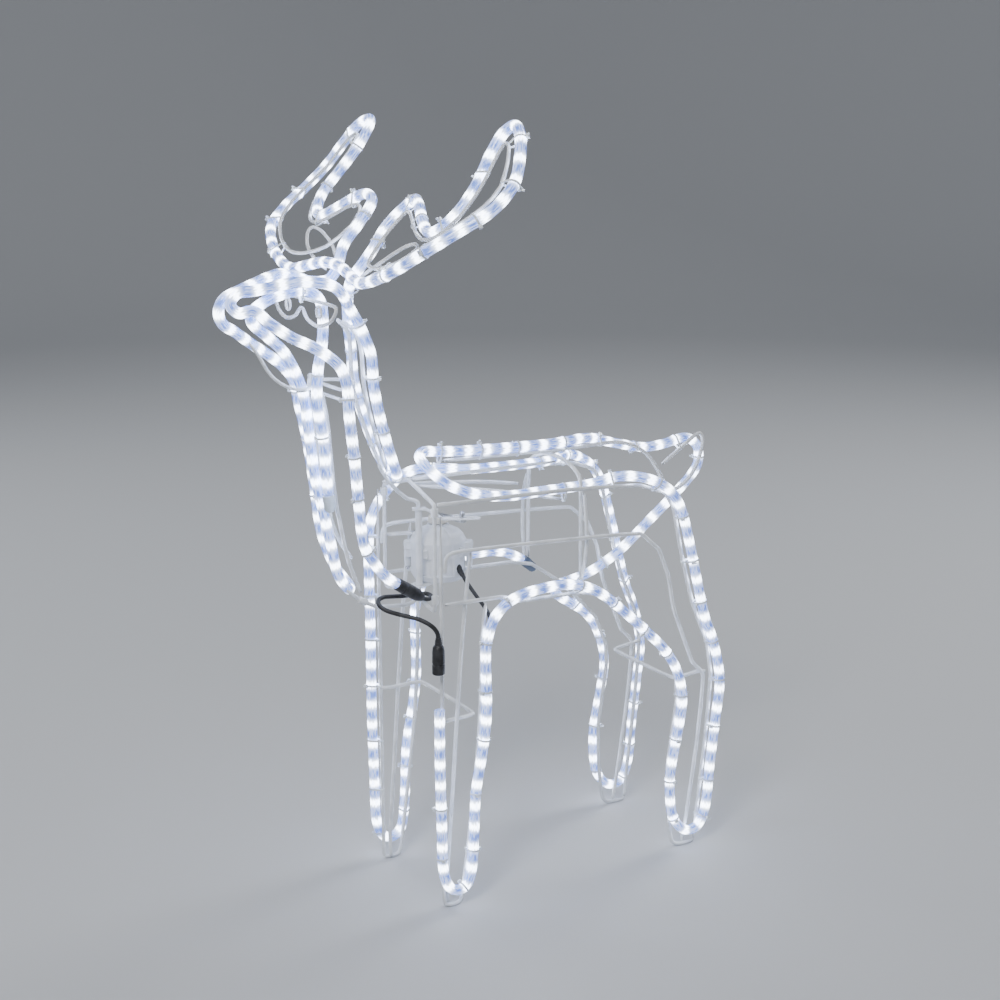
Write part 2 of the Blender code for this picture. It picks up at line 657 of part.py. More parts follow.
# ------------------------------------------------------------------ rope lights
NOSE_L = [(24, -203, 767), (18, -219, 765), (14, -227, 775), (15, -219, 787), (18, -203, 789)]
TOP_L = [(24, -185, 792), (32, -163, 797), (41, -137, 798), (43, -114, 793), (36, -97, 781)]
REAR_L = [(24, -84, 766), (22, -66, 736), (27, -56, 704), (27, -54, 672), (26, -48, 641),
          (23, -39, 610), (19, -28, 579), (13, -18, 556)]
neck_route = [
    (50, -38, 426), (51, -52, 436), (53, -68, 455), (56, -84, 482), (60, -92, 531), (66, -100, 593),
    (69, -107, 645), (63, -106, 678), (58, -113, 701), (49, -138, 722), (40, -166, 737),
    (31, -187, 753),
] + NOSE_L + TOP_L + REAR_L + [(0, -12, 546)] + mirror(reversed(REAR_L[2:])) + [
    (-18, -64, 738), (-10, -68, 764), (8, -72, 792),
] + ANTLER + [
    (28, -95, 812), (0, -94, 814), (-28, -95, 812),
] + mirror(reversed(ANTLER)) + [
    (-28, -84, 791), (-40, -102, 789), (-44, -118, 794), (-39, -141, 800), (-30, -163, 797),
    (-20, -185, 792), (-14, -206, 786), (-13, -224, 778), (-15, -230, 764), (-20, -224, 749),
    (-28, -207, 738), (-41, -178, 718), (-54, -140, 692), (-62, -118, 668), (-69, -109, 640),
    (-66, -100, 593), (-60, -94, 531), (-56, -88, 474), (-52, -72, 428), (-42, -58, 404),
    (-28, -66, 404), (-16, -86, 430), (-10, -96, 465), (-9, -106, 510), (-8.5, -117, 560),
    (-8.5, -123, 610), (-9, -129, 660), (-10, -140, 690), (-9, -153, 712), (-7, -174, 732),
    (-2, -194, 749), (5, -198, 762), (9, -186, 773), (9, -168, 780), (9, -146, 784.5),
    (9, -128, 784), (10, -114, 773), (10, -110, 752), (10, -112, 720), (10, -118, 690), (10, -120, 650),
    (9, -112, 600), (9, -110, 560), (9, -108, 540),
]
flow("neck_rope_light", neck_route, "rope", ROPE_R, steps=2, tol=1.0, res=2)
rod_between("neck_rope_end_cap", [((9, -107.8, 537), 7.6), ((9, -106, 520), 7.6), ((9, -105.7, 516), 5.5)],
            "rope")
rod_between("neck_rope_sleeve", [((50, -37.5, 425.6), 7.6), ((50, -18, 412.9), 8.0),
                                 ((50, -9, 407.0), 8.0), ((50, -2, 402.4), 4.4)], "black")

FRONT_LEG_ROPE = [
    (-4, 270), (-4, 200), (-2, 110), (0, 55), (9, 31), (24, 25), (37, 36), (43, 75), (47, 150),
    (58, 212), (63, 255), (62, 310), (63, 345), (76, 378), (103, 397),
]
ARCH_ROPE = [(150, 404), (195, 401), (232, 384)]
REAR_LEG_ROPE = [
    (306, 320), (335, 291), (357, 256), (366, 215), (359, 168), (350, 122), (349, 84), (356, 48),
    (376, 26), (397, 28), (410, 56), (415, 110), (423, 180), (428, 234), (415, 290), (400, 326),
    (387, 372), (373, 426), (357, 478),
]
body_route = side(FRONT_LEG_ROPE, ROPE_X, 1) + side(ARCH_ROPE, ROPE_X, 1)
body_route += side([(272, 351)], ROPE_X, 1) + side(REAR_LEG_ROPE, ROPE_X, 1)
body_route += [
    (93.3, 342, 502), (90, 322, 518), (82, 295, 527.5), (70, 268, 528), (58, 240, 520), (54, 215, 518),
    (54, 170, 518), (54, 118, 518), (52, 80, 523), (43, 44, 536), (30, 22, 555), (15, 14, 570),
    (4, 24, 575), (0, 50, 572), (0, 90, 569), (0, 200, 565), (0, 240, 565.5), (-3, 262, 566),
    (-9, 285, 563), (-10.5, 305, 557), (-10, 335, 549), (-9.6, 368, 542), (-9.6, 400, 543), (-9.6, 438, 548),
    (-9.6, 458, 533), (-10, 458, 506), (-24, 436, 470), (-42, 404, 430), (-62, 366, 385),
    (-80, 330, 356), (-93.3, 304, 344), (-93.3, 286, 341), (-93.3, 282, 331), (-93.3, 290, 323),
]
body_route += side(REAR_LEG_ROPE[1:], ROPE_X, -1)
body_route += [
    (-93.3, 342, 502), (-88, 318, 519), (-76, 290, 528.5), (-62, 262, 529), (-48, 236, 530),
    (-44, 200, 531), (-44, 150, 532), (-48, 115, 533), (-62, 84, 535), (-78, 62, 534), (-90, 42, 524),
    (-93.3, 20, 504), (-93.3, 3, 480), (-93.3, -4, 450), (-93.3, -4, 330),
]
body_route += side(FRONT_LEG_ROPE, ROPE_X, -1) + side(ARCH_ROPE[:2], ROPE_X, -1)
body_route += side([(228, 386)], ROPE_X, -1)
flow("body_rope_light", body_route, "rope", ROPE_R, steps=2, tol=1.0, res=2)
rod_between("body_rope_end_cap", [((-94.6, 230.5, 384.6), 7.4), ((-94.6, 246, 371), 7.4),
                                  ((-94.6, 249, 368.5), 5.5)], "smoke")
rod_between("body_rope_sleeve", [((95.2, -6, 318), 7.8), ((95.2, -6, 352), 7.8), ((95.2, -6, 364), 4.2)],
            "black")

# ------------------------------------------------------------------ loose leads
flow("link_cable", [
    (50, -1.1, 401.8), (49.7, 4, 400), (47.5, 9.5, 399.8), (42.5, 13.5, 400.3), (36.5, 14, 401),
    (31.5, 11, 401.5), (29, 5, 401.5), (28.2, -4, 401.5), (28.5, -18, 402), (29.5, -34, 404), (31.5, -47, 405.5),
    (37, -57, 404.5), (45.5, -60, 400.5), (54, -55.5, 396), (62, -45, 392), (70, -34, 389), (79, -24.5, 386.5),
    (87, -17, 382.5), (92.3, -10.8, 377), (94.8, -7.2, 370.5), (95.2, -6, 364.6),
], "black", 2.8 * MM, steps=3, res=2)
flow("motor_lead", [
    (17.5, 71, 415), (24, 74, 406), (38, 80, 390), (56, 84, 376), (72, 80, 368), (76.5, 74, 352),
    (76.5, 71, 330),
], "black", 2.5 * MM, steps=3, res=2)
rod_between("lead_connector", [((76, 70.8, 329), 5.0), ((76, 68, 300), 5.0)], "black")
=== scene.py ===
"""Looks for the light up yard reindeer: rope lights, coated wire, ties, gear motor and leads."""
import json
import math
import random
import bmesh
import bpy
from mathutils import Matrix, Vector
from mathutils.bvhtree import BVHTree

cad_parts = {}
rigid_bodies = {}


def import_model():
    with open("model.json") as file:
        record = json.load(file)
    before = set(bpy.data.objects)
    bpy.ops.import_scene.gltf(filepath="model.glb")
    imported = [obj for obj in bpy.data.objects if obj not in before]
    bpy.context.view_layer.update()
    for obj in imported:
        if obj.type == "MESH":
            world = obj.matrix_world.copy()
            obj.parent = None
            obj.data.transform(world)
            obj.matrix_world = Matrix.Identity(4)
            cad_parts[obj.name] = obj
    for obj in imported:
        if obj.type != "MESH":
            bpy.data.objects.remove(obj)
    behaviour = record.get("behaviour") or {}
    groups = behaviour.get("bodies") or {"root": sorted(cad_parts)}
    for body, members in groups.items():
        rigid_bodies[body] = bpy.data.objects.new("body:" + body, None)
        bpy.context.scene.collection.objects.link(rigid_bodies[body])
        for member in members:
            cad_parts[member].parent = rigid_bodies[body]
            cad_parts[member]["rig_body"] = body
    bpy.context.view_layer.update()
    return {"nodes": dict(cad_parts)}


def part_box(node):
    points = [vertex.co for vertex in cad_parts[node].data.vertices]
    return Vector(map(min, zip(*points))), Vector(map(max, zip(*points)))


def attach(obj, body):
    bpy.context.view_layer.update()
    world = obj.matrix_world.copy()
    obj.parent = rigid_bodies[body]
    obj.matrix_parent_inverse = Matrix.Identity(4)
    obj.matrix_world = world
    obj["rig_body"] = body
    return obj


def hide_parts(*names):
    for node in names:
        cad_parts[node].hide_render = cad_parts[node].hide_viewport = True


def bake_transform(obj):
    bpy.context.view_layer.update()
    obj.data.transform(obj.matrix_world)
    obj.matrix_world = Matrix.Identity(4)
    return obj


for old in list(bpy.data.objects):
    bpy.data.objects.remove(old, do_unlink=True)

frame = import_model()
NODES = frame["nodes"]

# ------------------------------------------------------------------ driving values
MM = 0.001
WIRE_R = 2.5                   # mm, coated steel wire
THIN_R = 2.0                   # mm, wire of the face and ears
ROPE_R = 6.5                   # mm, 13 mm rope light
FOOT_FRONT_Y = 5.0             # mm, front wire of the front legs in the design grid
ROPE_X = 93.3                  # mm, ropes on the side frames
LED_PITCH = 0.0278             # 36 lamps to the metre
TIE_PITCH = 58.0               # mm between cable ties
STREAK_ROUND = 3.6             # streaks round half the jacket
STREAK_ALONG = 75.0            # streaks in a metre of jacket
LAMP_GLOW = 9.0                # emission added at a lamp
JACKET_GLOW = 2.2              # emission added where the jacket scatters most
LEAST_GLOW = 0.75              # emission everywhere
TIE_HALF_WIDTH = 1.25          # mm
TIE_THICK = 1.0                # mm
TIE_REACH = 0.013              # m, how far a wire may be from the rope's middle to be tied to it
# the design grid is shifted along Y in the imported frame; the shift is read from the front leg
Y_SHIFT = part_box("wire_front_leg_L")[0].y - (FOOT_FRONT_Y - WIRE_R) * MM
rng = random.Random(7)


def place(p):
    """A point of the design grid, in mm, as a place in the frame, in metres."""
    return Vector((p[0] * MM, p[1] * MM + Y_SHIFT, p[2] * MM))


# ------------------------------------------------------------------ camera
CAMERA_AT = (1898.0, -991.0, 1030.0)   # mm, design grid
CAMERA_YAW = 59.26                     # degrees, 90 looks along -X
CAMERA_PITCH = 13.52                   # degrees below level
CAMERA_LENS = 63.84                    # mm


def add_camera():
    data = bpy.data.cameras.new("view_camera")
    data.lens = CAMERA_LENS
    data.sensor_width = 36.0
    data.clip_end = 60
    cam = bpy.data.objects.new("view_camera", data)
    cam.location = place(CAMERA_AT)
    cam.rotation_euler = (math.radians(90 - CAMERA_PITCH), 0, math.radians(CAMERA_YAW))
    bpy.context.scene.collection.objects.link(cam)
    bpy.context.scene.camera = cam


add_camera()


# ------------------------------------------------------------------ materials
class Look:
    """A Principled material whose detail comes from procedural nodes."""

    def __init__(self, name, colour, rough, metal=0.0):
        self.mat = bpy.data.materials.new(name)
        self.mat.use_nodes = True
        self.tree = self.mat.node_tree
        self.bsdf = self.tree.nodes["Principled BSDF"]
        self.bsdf.inputs["Base Color"].default_value = (*colour, 1)
        self.bsdf.inputs["Roughness"].default_value = rough
        self.bsdf.inputs["Metallic"].default_value = metal

    def node(self, kind, **values):
        made = self.tree.nodes.new(kind)
        for key, value in values.items():
            setattr(made, key, value)
        return made

    def link(self, a, b):
        self.tree.links.new(a, b)

    def noise(self, scale, detail=3.0, stretch=None):
        coord = self.node("ShaderNodeTexCoord")
        out = coord.outputs["Object"]
        if stretch:
            mapping = self.node("ShaderNodeMapping")
            mapping.inputs["Scale"].default_value = stretch
            self.link(out, mapping.inputs["Vector"])
            out = mapping.outputs["Vector"]
        tex = self.node("ShaderNodeTexNoise")
        tex.inputs["Scale"].default_value = scale
        tex.inputs["Detail"].default_value = detail
        self.link(out, tex.inputs["Vector"])
        return tex.outputs["Fac"]

    def ramp(self, value, low, high, at=(0.35, 0.65)):
        made = self.node("ShaderNodeValToRGB")
        made.color_ramp.elements[0].position = at[0]
        made.color_ramp.elements[1].position = at[1]
        made.color_ramp.elements[0].color = (*low, 1)
        made.color_ramp.elements[1].color = (*high, 1)
        self.link(value, made.inputs["Fac"])
        return made.outputs["Color"]

    def span(self, value, low, high, source=(0.3, 0.7), kind="LINEAR"):
        made = self.node("ShaderNodeMapRange", interpolation_type=kind)
        made.inputs["From Min"].default_value = source[0]
        made.inputs["From Max"].default_value = source[1]
        made.inputs["To Min"].default_value = low
        made.inputs["To Max"].default_value = high
        self.link(value, made.inputs["Value"])
        return made.outputs["Result"]

    def maths(self, how, a, b):
        made = self.node("ShaderNodeMath", operation=how)
        for slot, value in zip(made.inputs, (a, b)):
            if isinstance(value, (int, float)):
                slot.default_value = value
            else:
                self.link(value, slot)
        return made.outputs[0]

    def bump(self, height, strength, distance):
        made = self.node("ShaderNodeBump")
        made.inputs["Strength"].default_value = strength
        made.inputs["Distance"].default_value = distance
        self.link(height, made.inputs["Height"])
        self.link(made.outputs["Normal"], self.bsdf.inputs["Normal"])

    def surface(self, low, high, patch, rough, grain, strength, distance):
        """Patchy colour, uneven gloss and a fine grain."""
        patches = self.noise(patch)
        self.link(self.ramp(patches, low, high), self.bsdf.inputs["Base Color"])
        fine = self.noise(grain, 4.0)
        self.link(self.span(fine, *rough), self.bsdf.inputs["Roughness"])
        self.bump(fine, strength, distance)
        return self.mat


def wire_look():
    look = Look("coated_wire", (0.8, 0.82, 0.84), 0.35)
    look.bsdf.inputs["Coat Weight"].default_value = 0.25
    look.bsdf.inputs["Coat Roughness"].default_value = 0.2
    return look.surface((0.70, 0.72, 0.745), (0.86, 0.875, 0.89), 55, (0.30, 0.48), 900, 0.25, 0.0003)


def plastic_look(name, low, high, rough=(0.36, 0.5)):
    return Look(name, high, 0.4).surface(low, high, 40, rough, 1400, 0.2, 0.0002)


def steel_look():
    look = Look("plated_steel", (0.6, 0.61, 0.63), 0.3, 1.0)
    brushed = look.noise(600, 4.0, (1, 1, 0.08))
    look.link(look.ramp(brushed, (0.48, 0.49, 0.51), (0.72, 0.73, 0.75)), look.bsdf.inputs["Base Color"])
    look.link(look.span(brushed, 0.22, 0.42), look.bsdf.inputs["Roughness"])
    look.bump(brushed, 0.1, 0.0002)
    return look.mat


def rubber_look():
    return Look("black_rubber", (0.02, 0.02, 0.022), 0.5).surface(
        (0.012, 0.012, 0.014), (0.035, 0.036, 0.04), 120, (0.38, 0.6), 1600, 0.35, 0.0003)


def rope_look():
    """Clear jacket lit from inside: a lamp every pitch, streaks from the jacket between them."""
    look = Look("lit_rope", (0.30, 0.45, 0.86), 0.16)
    look.bsdf.inputs["Coat Weight"].default_value = 0.6
    look.bsdf.inputs["Coat Roughness"].default_value = 0.08
    along = look.node("ShaderNodeAttribute", attribute_name="along")
    ring = look.node("ShaderNodeAttribute", attribute_name="ring")
    cycle = look.maths("FRACT", look.maths("DIVIDE", along.outputs["Fac"], LED_PITCH), 0.0)
    away = look.maths("ABSOLUTE", look.maths("SUBTRACT", cycle, 0.5), 0.0)
    streak = look.node("ShaderNodeTexNoise")
    streak.inputs["Scale"].default_value = 1.0
    streak.inputs["Detail"].default_value = 2.5
    look.link(ring.outputs["Vector"], streak.inputs["Vector"])
    off_centre = look.maths("SUBTRACT", streak.outputs["Fac"], 0.5)
    uneven = look.maths("ADD", away, look.maths("MULTIPLY", off_centre, 0.55))
    lamp = look.span(uneven, 1.0, 0.0, (0.08, 0.22), "SMOOTHSTEP")
    halo = look.span(uneven, 1.0, 0.0, (0.12, 0.40), "SMOOTHSTEP")
    veins = look.span(streak.outputs["Fac"], 0.0, 1.0, (0.43, 0.57))
    halo_share = look.maths("MULTIPLY", halo, 0.62)
    vein_share = look.maths("MULTIPLY", veins, 0.5)
    white = look.maths("MINIMUM", look.maths("ADD", halo_share, vein_share), 1.0)
    glow = look.ramp(white, (0.015, 0.11, 0.80), (0.86, 0.93, 1.0), (0.0, 0.85))
    jacket_part = look.maths("MULTIPLY", white, JACKET_GLOW)
    lamp_part = look.maths("MULTIPLY", lamp, LAMP_GLOW)
    strength = look.maths("ADD", look.maths("ADD", jacket_part, lamp_part), LEAST_GLOW)
    look.link(glow, look.bsdf.inputs["Emission Color"])
    look.link(strength, look.bsdf.inputs["Emission Strength"])
    look.bump(streak.outputs["Fac"], 0.12, 0.0004)
    return look.mat


def tie_look():
    look = Look("clear_nylon_tie", (0.85, 0.9, 0.95), 0.25)
    look.bsdf.inputs["Subsurface Weight"].default_value = 0.2
    look.bsdf.inputs["Subsurface Radius"].default_value = (0.002, 0.002, 0.003)
    return look.surface((0.74, 0.80, 0.88), (0.92, 0.95, 0.98), 300, (0.2, 0.4), 1500, 0.2, 0.0002)


WIRE = wire_look()
ROPE = rope_look()
RUBBER = rubber_look()
STEEL = steel_look()
TIE = tie_look()
HOUSING = plastic_look("white_moulding", (0.72, 0.745, 0.79), (0.82, 0.84, 0.87))
CREAM = plastic_look("cream_moulding", (0.70, 0.665, 0.57), (0.80, 0.765, 0.67))
CLEAR_CAP = plastic_look("clear_cap", (0.60, 0.70, 0.82), (0.80, 0.87, 0.94), (0.12, 0.25))
SMOKE_CAP = plastic_look("smoke_cap", (0.06, 0.08, 0.12), (0.13, 0.17, 0.24), (0.12, 0.25))


# ------------------------------------------------------------------ mesh helpers
def add_mesh(name, bm, mat, body, smooth=True, sharp=math.radians(40)):
    bmesh.ops.recalc_face_normals(bm, faces=bm.faces[:])
    data = bpy.data.meshes.new(name)
    bm.to_mesh(data)
    bm.free()
    data.materials.append(mat)
    if smooth:
        data.shade_smooth()
        data.set_sharp_from_angle(angle=sharp)
    obj = bpy.data.objects.new(name, data)
    bpy.context.scene.collection.objects.link(obj)
    if body:
        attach(obj, body)
    return obj


def catmull(points, steps):
    """Smooth curve through given points."""
    pts = [Vector(p) for p in points]
    out = []
    for i in range(len(pts) - 1):
        p1, p2 = pts[i], pts[i + 1]
        p0 = pts[i - 1] if i > 0 else p1 * 2 - p2
        p3 = pts[i + 2] if i + 2 < len(pts) else p2 * 2 - p1
        d1 = max((p2 - p1).length, 1e-6)
        m1 = (p2 - p0) * (d1 / (d1 + (p1 - p0).length))
        m2 = (p3 - p1) * (d1 / ((p3 - p2).length + d1))
        for s in range(steps):
            t = s / steps
            a = 2 * t ** 3 - 3 * t ** 2 + 1
            b = t ** 3 - 2 * t ** 2 + t
            c = -2 * t ** 3 + 3 * t ** 2
            d = t ** 3 - t ** 2
            out.append(p1 * a + m1 * b + p2 * c + m2 * d)
    out.append(pts[-1].copy())
    return out


def frames_along(pts):
    """Tangent and two carried-along normals at each point."""
    out = []
    u = None
    for i, p in enumerate(pts):
        t = (pts[min(i + 1, len(pts) - 1)] - pts[max(i - 1, 0)]).normalized()
        if u is None:
            ref = Vector((0, 0, 1)) if abs(t.z) < 0.9 else Vector((1, 0, 0))
            u = t.cross(ref).normalized()
        else:
            u = (u - t * u.dot(t)).normalized()
        out.append((t, u, t.cross(u)))
    return out


def sweep(name, pts, radius, sides, mat, body):
    """Round bar along places in metres, with its length and its ring kept as attributes."""
    bm = bmesh.new()
    along = bm.verts.layers.float.new("along")
    ring_at = bm.verts.layers.float_vector.new("ring")
    rings = []
    run = 0.0
    radii = radius if isinstance(radius, list) else [radius] * len(pts)
    for i, (p, (t, u, v)) in enumerate(zip(pts, frames_along(pts))):
        run += (p - pts[i - 1]).length if i else 0.0
        ring = []
        for k in range(sides):
            a = 2 * math.pi * k / sides
            off = u * math.cos(a) + v * math.sin(a)
            vert = bm.verts.new(p + off * radii[i])
            vert[along] = run
            vert[ring_at] = (math.cos(a) * STREAK_ROUND, math.sin(a) * STREAK_ROUND, run * STREAK_ALONG)
            ring.append(vert)
        rings.append(ring)
    for lo, hi in zip(rings, rings[1:]):
        for k in range(sides):
            n = (k + 1) % sides
            bm.faces.new((lo[k], lo[n], hi[n], hi[k]))
    bm.faces.new(rings[0])
    bm.faces.new(rings[-1])
    return add_mesh(name, bm, mat, body, True, math.radians(60))


def turned(name, stations, mat, body, sides=32):
    """Turned piece along a line of (point mm, radius mm)."""
    bm = bmesh.new()
    first, last = Vector(stations[0][0]), Vector(stations[-1][0])
    t = (last - first).normalized()
    ref = Vector((0, 0, 1)) if abs(t.z) < 0.9 else Vector((1, 0, 0))
    u = t.cross(ref).normalized()
    v = t.cross(u)
    rings = []
    for point, rad in stations:
        ring = []
        for k in range(sides):
            a = 2 * math.pi * k / sides
            ring.append(bm.verts.new(place(Vector(point) + (u * math.cos(a) + v * math.sin(a)) * rad)))
        rings.append(ring)
    for lo, hi in zip(rings, rings[1:]):
        for k in range(sides):
            n = (k + 1) % sides
            bm.faces.new((lo[k], lo[n], hi[n], hi[k]))
    bm.faces.new(rings[0])
    bm.faces.new(rings[-1])
    return add_mesh(name, bm, mat, body, True, math.radians(35))


def stadium_hull(a, ra, b, rb, u, v, count):
    """Points of the loop stretched round two circles, in the plane of u and v."""
    loop = []
    for k in range(count):
        t = 2 * math.pi * k / count
        n = u * math.cos(t) + v * math.sin(t)
        pa, pb = a + n * ra, b + n * rb
        loop.append(pa if pa.dot(n) >= pb.dot(n) else pb)
    return loop


# ------------------------------------------------------------------ routes, mm
def mirror(points):
    return [(-p[0], p[1], p[2]) for p in points]


def side(points, x, sign):
    return [(sign * x, p[0], p[1]) for p in points]


ANTLER = [
    (27, -72, 806), (38, -58, 830), (35, -38, 856), (44, -16, 880), (62, -14, 888), (84, -20, 882),
    (114, -32, 867), (138, -38, 858), (158, -36, 861), (176, -20, 882), (174, 4, 910),
    (165, 26, 940), (166, 42, 964), (178, 50, 974), (200, 44, 966), (218, 34, 946),
    (236, 15, 914), (239, -14, 887), (227, -47, 866), (204, -79, 842), (163, -95, 819),
    (120, -102, 804), (90, -102, 800), (58, -98, 806),
]
NOSE_L = [(24, -203, 767), (18, -219, 765), (14, -227, 775), (15, -219, 787), (18, -203, 789)]
TOP_L = [(24, -185, 792), (32, -163, 797), (41, -137, 798), (43, -114, 793), (36, -97, 781)]
REAR_L = [(24, -84, 766), (22, -66, 736), (27, -56, 704), (27, -54, 672), (26, -48, 641),
          (23, -39, 610), (19, -28, 579), (13, -18, 556)]
NECK_ROUTE = [
    (50, -38, 426), (51, -52, 436), (53, -68, 455), (56, -84, 482), (60, -92, 531), (66, -100, 593),
    (69, -107, 645), (63, -106, 678), (58, -113, 701), (49, -138, 722), (40, -166, 737),
    (31, -187, 753),
] + NOSE_L + TOP_L + REAR_L + [(0, -12, 546)] + mirror(reversed(REAR_L[2:])) + [
    (-18, -64, 738), (-10, -68, 764), (8, -72, 792),
] + ANTLER + [
    (28, -95, 812), (0, -94, 814), (-28, -95, 812),
] + mirror(reversed(ANTLER)) + [
    (-28, -84, 791), (-40, -102, 789), (-44, -118, 794), (-39, -141, 800), (-30, -163, 797),
    (-20, -185, 792), (-14, -206, 786), (-13, -224, 778), (-15, -230, 764), (-20, -224, 749),
    (-28, -207, 738), (-41, -178, 718), (-54, -140, 692), (-62, -118, 668), (-69, -109, 640),
    (-66, -100, 593), (-60, -94, 531), (-56, -88, 474), (-52, -72, 428), (-42, -58, 404),
    (-28, -66, 404), (-16, -86, 430), (-10, -96, 465), (-9, -106, 510), (-8.5, -117, 560),
    (-8.5, -123, 610), (-9, -129, 660), (-10, -140, 690), (-9, -153, 712), (-7, -174, 732),
    (-2, -194, 749), (5, -198, 762), (9, -186, 773), (9, -168, 780), (9, -146, 784.5),
    (9, -128, 784), (10, -114, 773), (10, -110, 752), (10, -112, 720), (10, -118, 690), (10, -120, 650),
    (9, -112, 600), (9, -110, 560), (9, -108, 540),
]
FRONT_LEG_ROPE = [
    (-4, 270), (-4, 200), (-2, 110), (0, 55), (9, 31), (24, 25), (37, 36), (43, 75), (47, 150),
    (58, 212), (63, 255), (62, 310), (63, 345), (76, 378), (103, 397),
]
ARCH_ROPE = [(150, 404), (195, 401), (232, 384)]
REAR_LEG_ROPE = [
    (306, 320), (335, 291), (357, 256), (366, 215), (359, 168), (350, 122), (349, 84), (356, 48),
    (376, 26), (397, 28), (410, 56), (415, 110), (423, 180), (428, 234), (415, 290), (400, 326),
    (387, 372), (373, 426), (357, 478),
]
BODY_ROUTE = side(FRONT_LEG_ROPE + ARCH_ROPE + [(272, 351)] + REAR_LEG_ROPE, ROPE_X, 1) + [
    (93.3, 342, 502), (90, 322, 518), (82, 295, 527.5), (70, 268, 528), (58, 240, 520), (54, 215, 518),
    (54, 170, 518), (54, 118, 518), (52, 80, 523), (43, 44, 536), (30, 22, 555), (15, 14, 570),
    (4, 24, 575), (0, 50, 572), (0, 90, 569), (0, 200, 565), (0, 240, 565.5), (-3, 262, 566),
    (-9, 285, 563), (-10.5, 305, 557), (-10, 335, 549), (-9.6, 368, 542), (-9.6, 400, 543), (-9.6, 438, 548),
    (-9.6, 458, 533), (-10, 458, 506), (-24, 436, 470), (-42, 404, 430), (-62, 366, 385),
    (-80, 330, 356), (-93.3, 304, 344), (-93.3, 286, 341), (-93.3, 282, 331), (-93.3, 290, 323),
] + side(REAR_LEG_ROPE[1:], ROPE_X, -1) + [
    (-93.3, 342, 502), (-88, 318, 519), (-76, 290, 528.5), (-62, 262, 529), (-48, 236, 530),
    (-44, 200, 531), (-44, 150, 532), (-48, 115, 533), (-62, 84, 535), (-78, 62, 534), (-90, 42, 524),
    (-93.3, 20, 504), (-93.3, 3, 480), (-93.3, -4, 450), (-93.3, -4, 330),
] + side(FRONT_LEG_ROPE + ARCH_ROPE[:2] + [(228, 386)], ROPE_X, -1)
LINK_ROUTE = [
    (50, -1.1, 401.8), (49.7, 4, 400), (47.5, 9.5, 399.8), (42.5, 13.5, 400.3), (36.5, 14, 401),
    (31.5, 11, 401.5), (29, 5, 401.5), (28.2, -4, 401.5), (28.5, -18, 402), (29.5, -34, 404),
    (31.5, -47, 405.5), (37, -57, 404.5), (45.5, -60, 400.5), (54, -55.5, 396), (62, -45, 392),
    (70, -34, 389), (79, -24.5, 386.5), (87, -17, 382.5), (92.3, -10.8, 377), (94.8, -7.2, 370.5),
    (95.2, -6, 364.6),
]
LEAD_ROUTE = [
    (17.5, 71, 415), (24, 74, 406), (38, 80, 390), (56, 84, 376), (72, 80, 368), (76.5, 74, 352),
    (76.5, 71, 330),
]


# ------------------------------------------------------------------ cords
LINK_R = 2.8
LEAD_R = 2.5


def add_cords():
    link = [place(p) for p in catmull(LINK_ROUTE, 4)]
    cable = sweep("link_cable_jacket", link, LINK_R * MM, 14, RUBBER, None)
    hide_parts("link_cable")
    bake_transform(cable)
    lead = [place(p) for p in catmull(LEAD_ROUTE, 6)]
    wire = sweep("motor_lead_jacket", lead, LEAD_R * MM, 14, RUBBER, "frame")
    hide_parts("motor_lead")
    plug = turned("inline_connector_body", [
        ((76.5, 70.8, 329.6), 3.1), ((76.45, 70.7, 328.6), 4.6), ((76.3, 70.2, 324), 5.4),
        ((76.3, 70.2, 323.6), 4.7), ((76.2, 69.8, 319), 4.7), ((76.2, 69.8, 318.6), 5.6),
        ((76.1, 68.6, 306), 5.6), ((76.0, 68.3, 303), 5.2), ((76.0, 68.3, 302.6), 3.6),
        ((76, 68, 300), 3.4),
    ], RUBBER, "frame", 24)
    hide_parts("lead_connector")


add_cords()


# ------------------------------------------------------------------ rope lights
def add_rope(name, route, node, body):
    pts = [place(p) for p in catmull(route, 6)]
    obj = sweep(name, pts, ROPE_R * MM, 18, ROPE, body)
    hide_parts(node)
    return pts


neck_path = add_rope("neck_rope_jacket", NECK_ROUTE, "neck_rope_light", "neck")
body_path = add_rope("body_rope_jacket", BODY_ROUTE, "body_rope_light", "frame")


# ------------------------------------------------------------------ coated wire
WIRE_NODES = [n for n in NODES if "wire" in n or n in (
    "front_frame", "mid_hoop", "front_brace", "rear_brace", "throat_ring", "flank_brace_L", "flank_brace_R")]
SIX_SIDED_SHRINK = 5.0 / 6.0   # smoothing draws a hexagon's corners in to this share of its radius


def add_wires():
    for node in WIRE_NODES:
        body = NODES[node]["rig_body"]
        thin = node.startswith(("ear", "eye", "jaw", "crown", "antler", "throat"))
        radius = 1.6 if node.startswith("pupil") else (THIN_R if thin else WIRE_R)
        bm = bmesh.new()
        bm.from_mesh(NODES[node].data)
        bmesh.ops.remove_doubles(bm, verts=bm.verts[:], dist=2e-5)
        bm.normal_update()
        swell = radius * MM * (1 / SIX_SIDED_SHRINK - 1)
        moves = [(v, v.normal.copy()) for v in bm.verts]
        for v, n in moves:
            v.co += n * swell
        obj = add_mesh(node + "_coated", bm, WIRE, body, True, math.radians(180))
        sub = obj.modifiers.new("round", "SUBSURF")
        sub.levels = 1
        sub.render_levels = 1
        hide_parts(node)


add_wires()


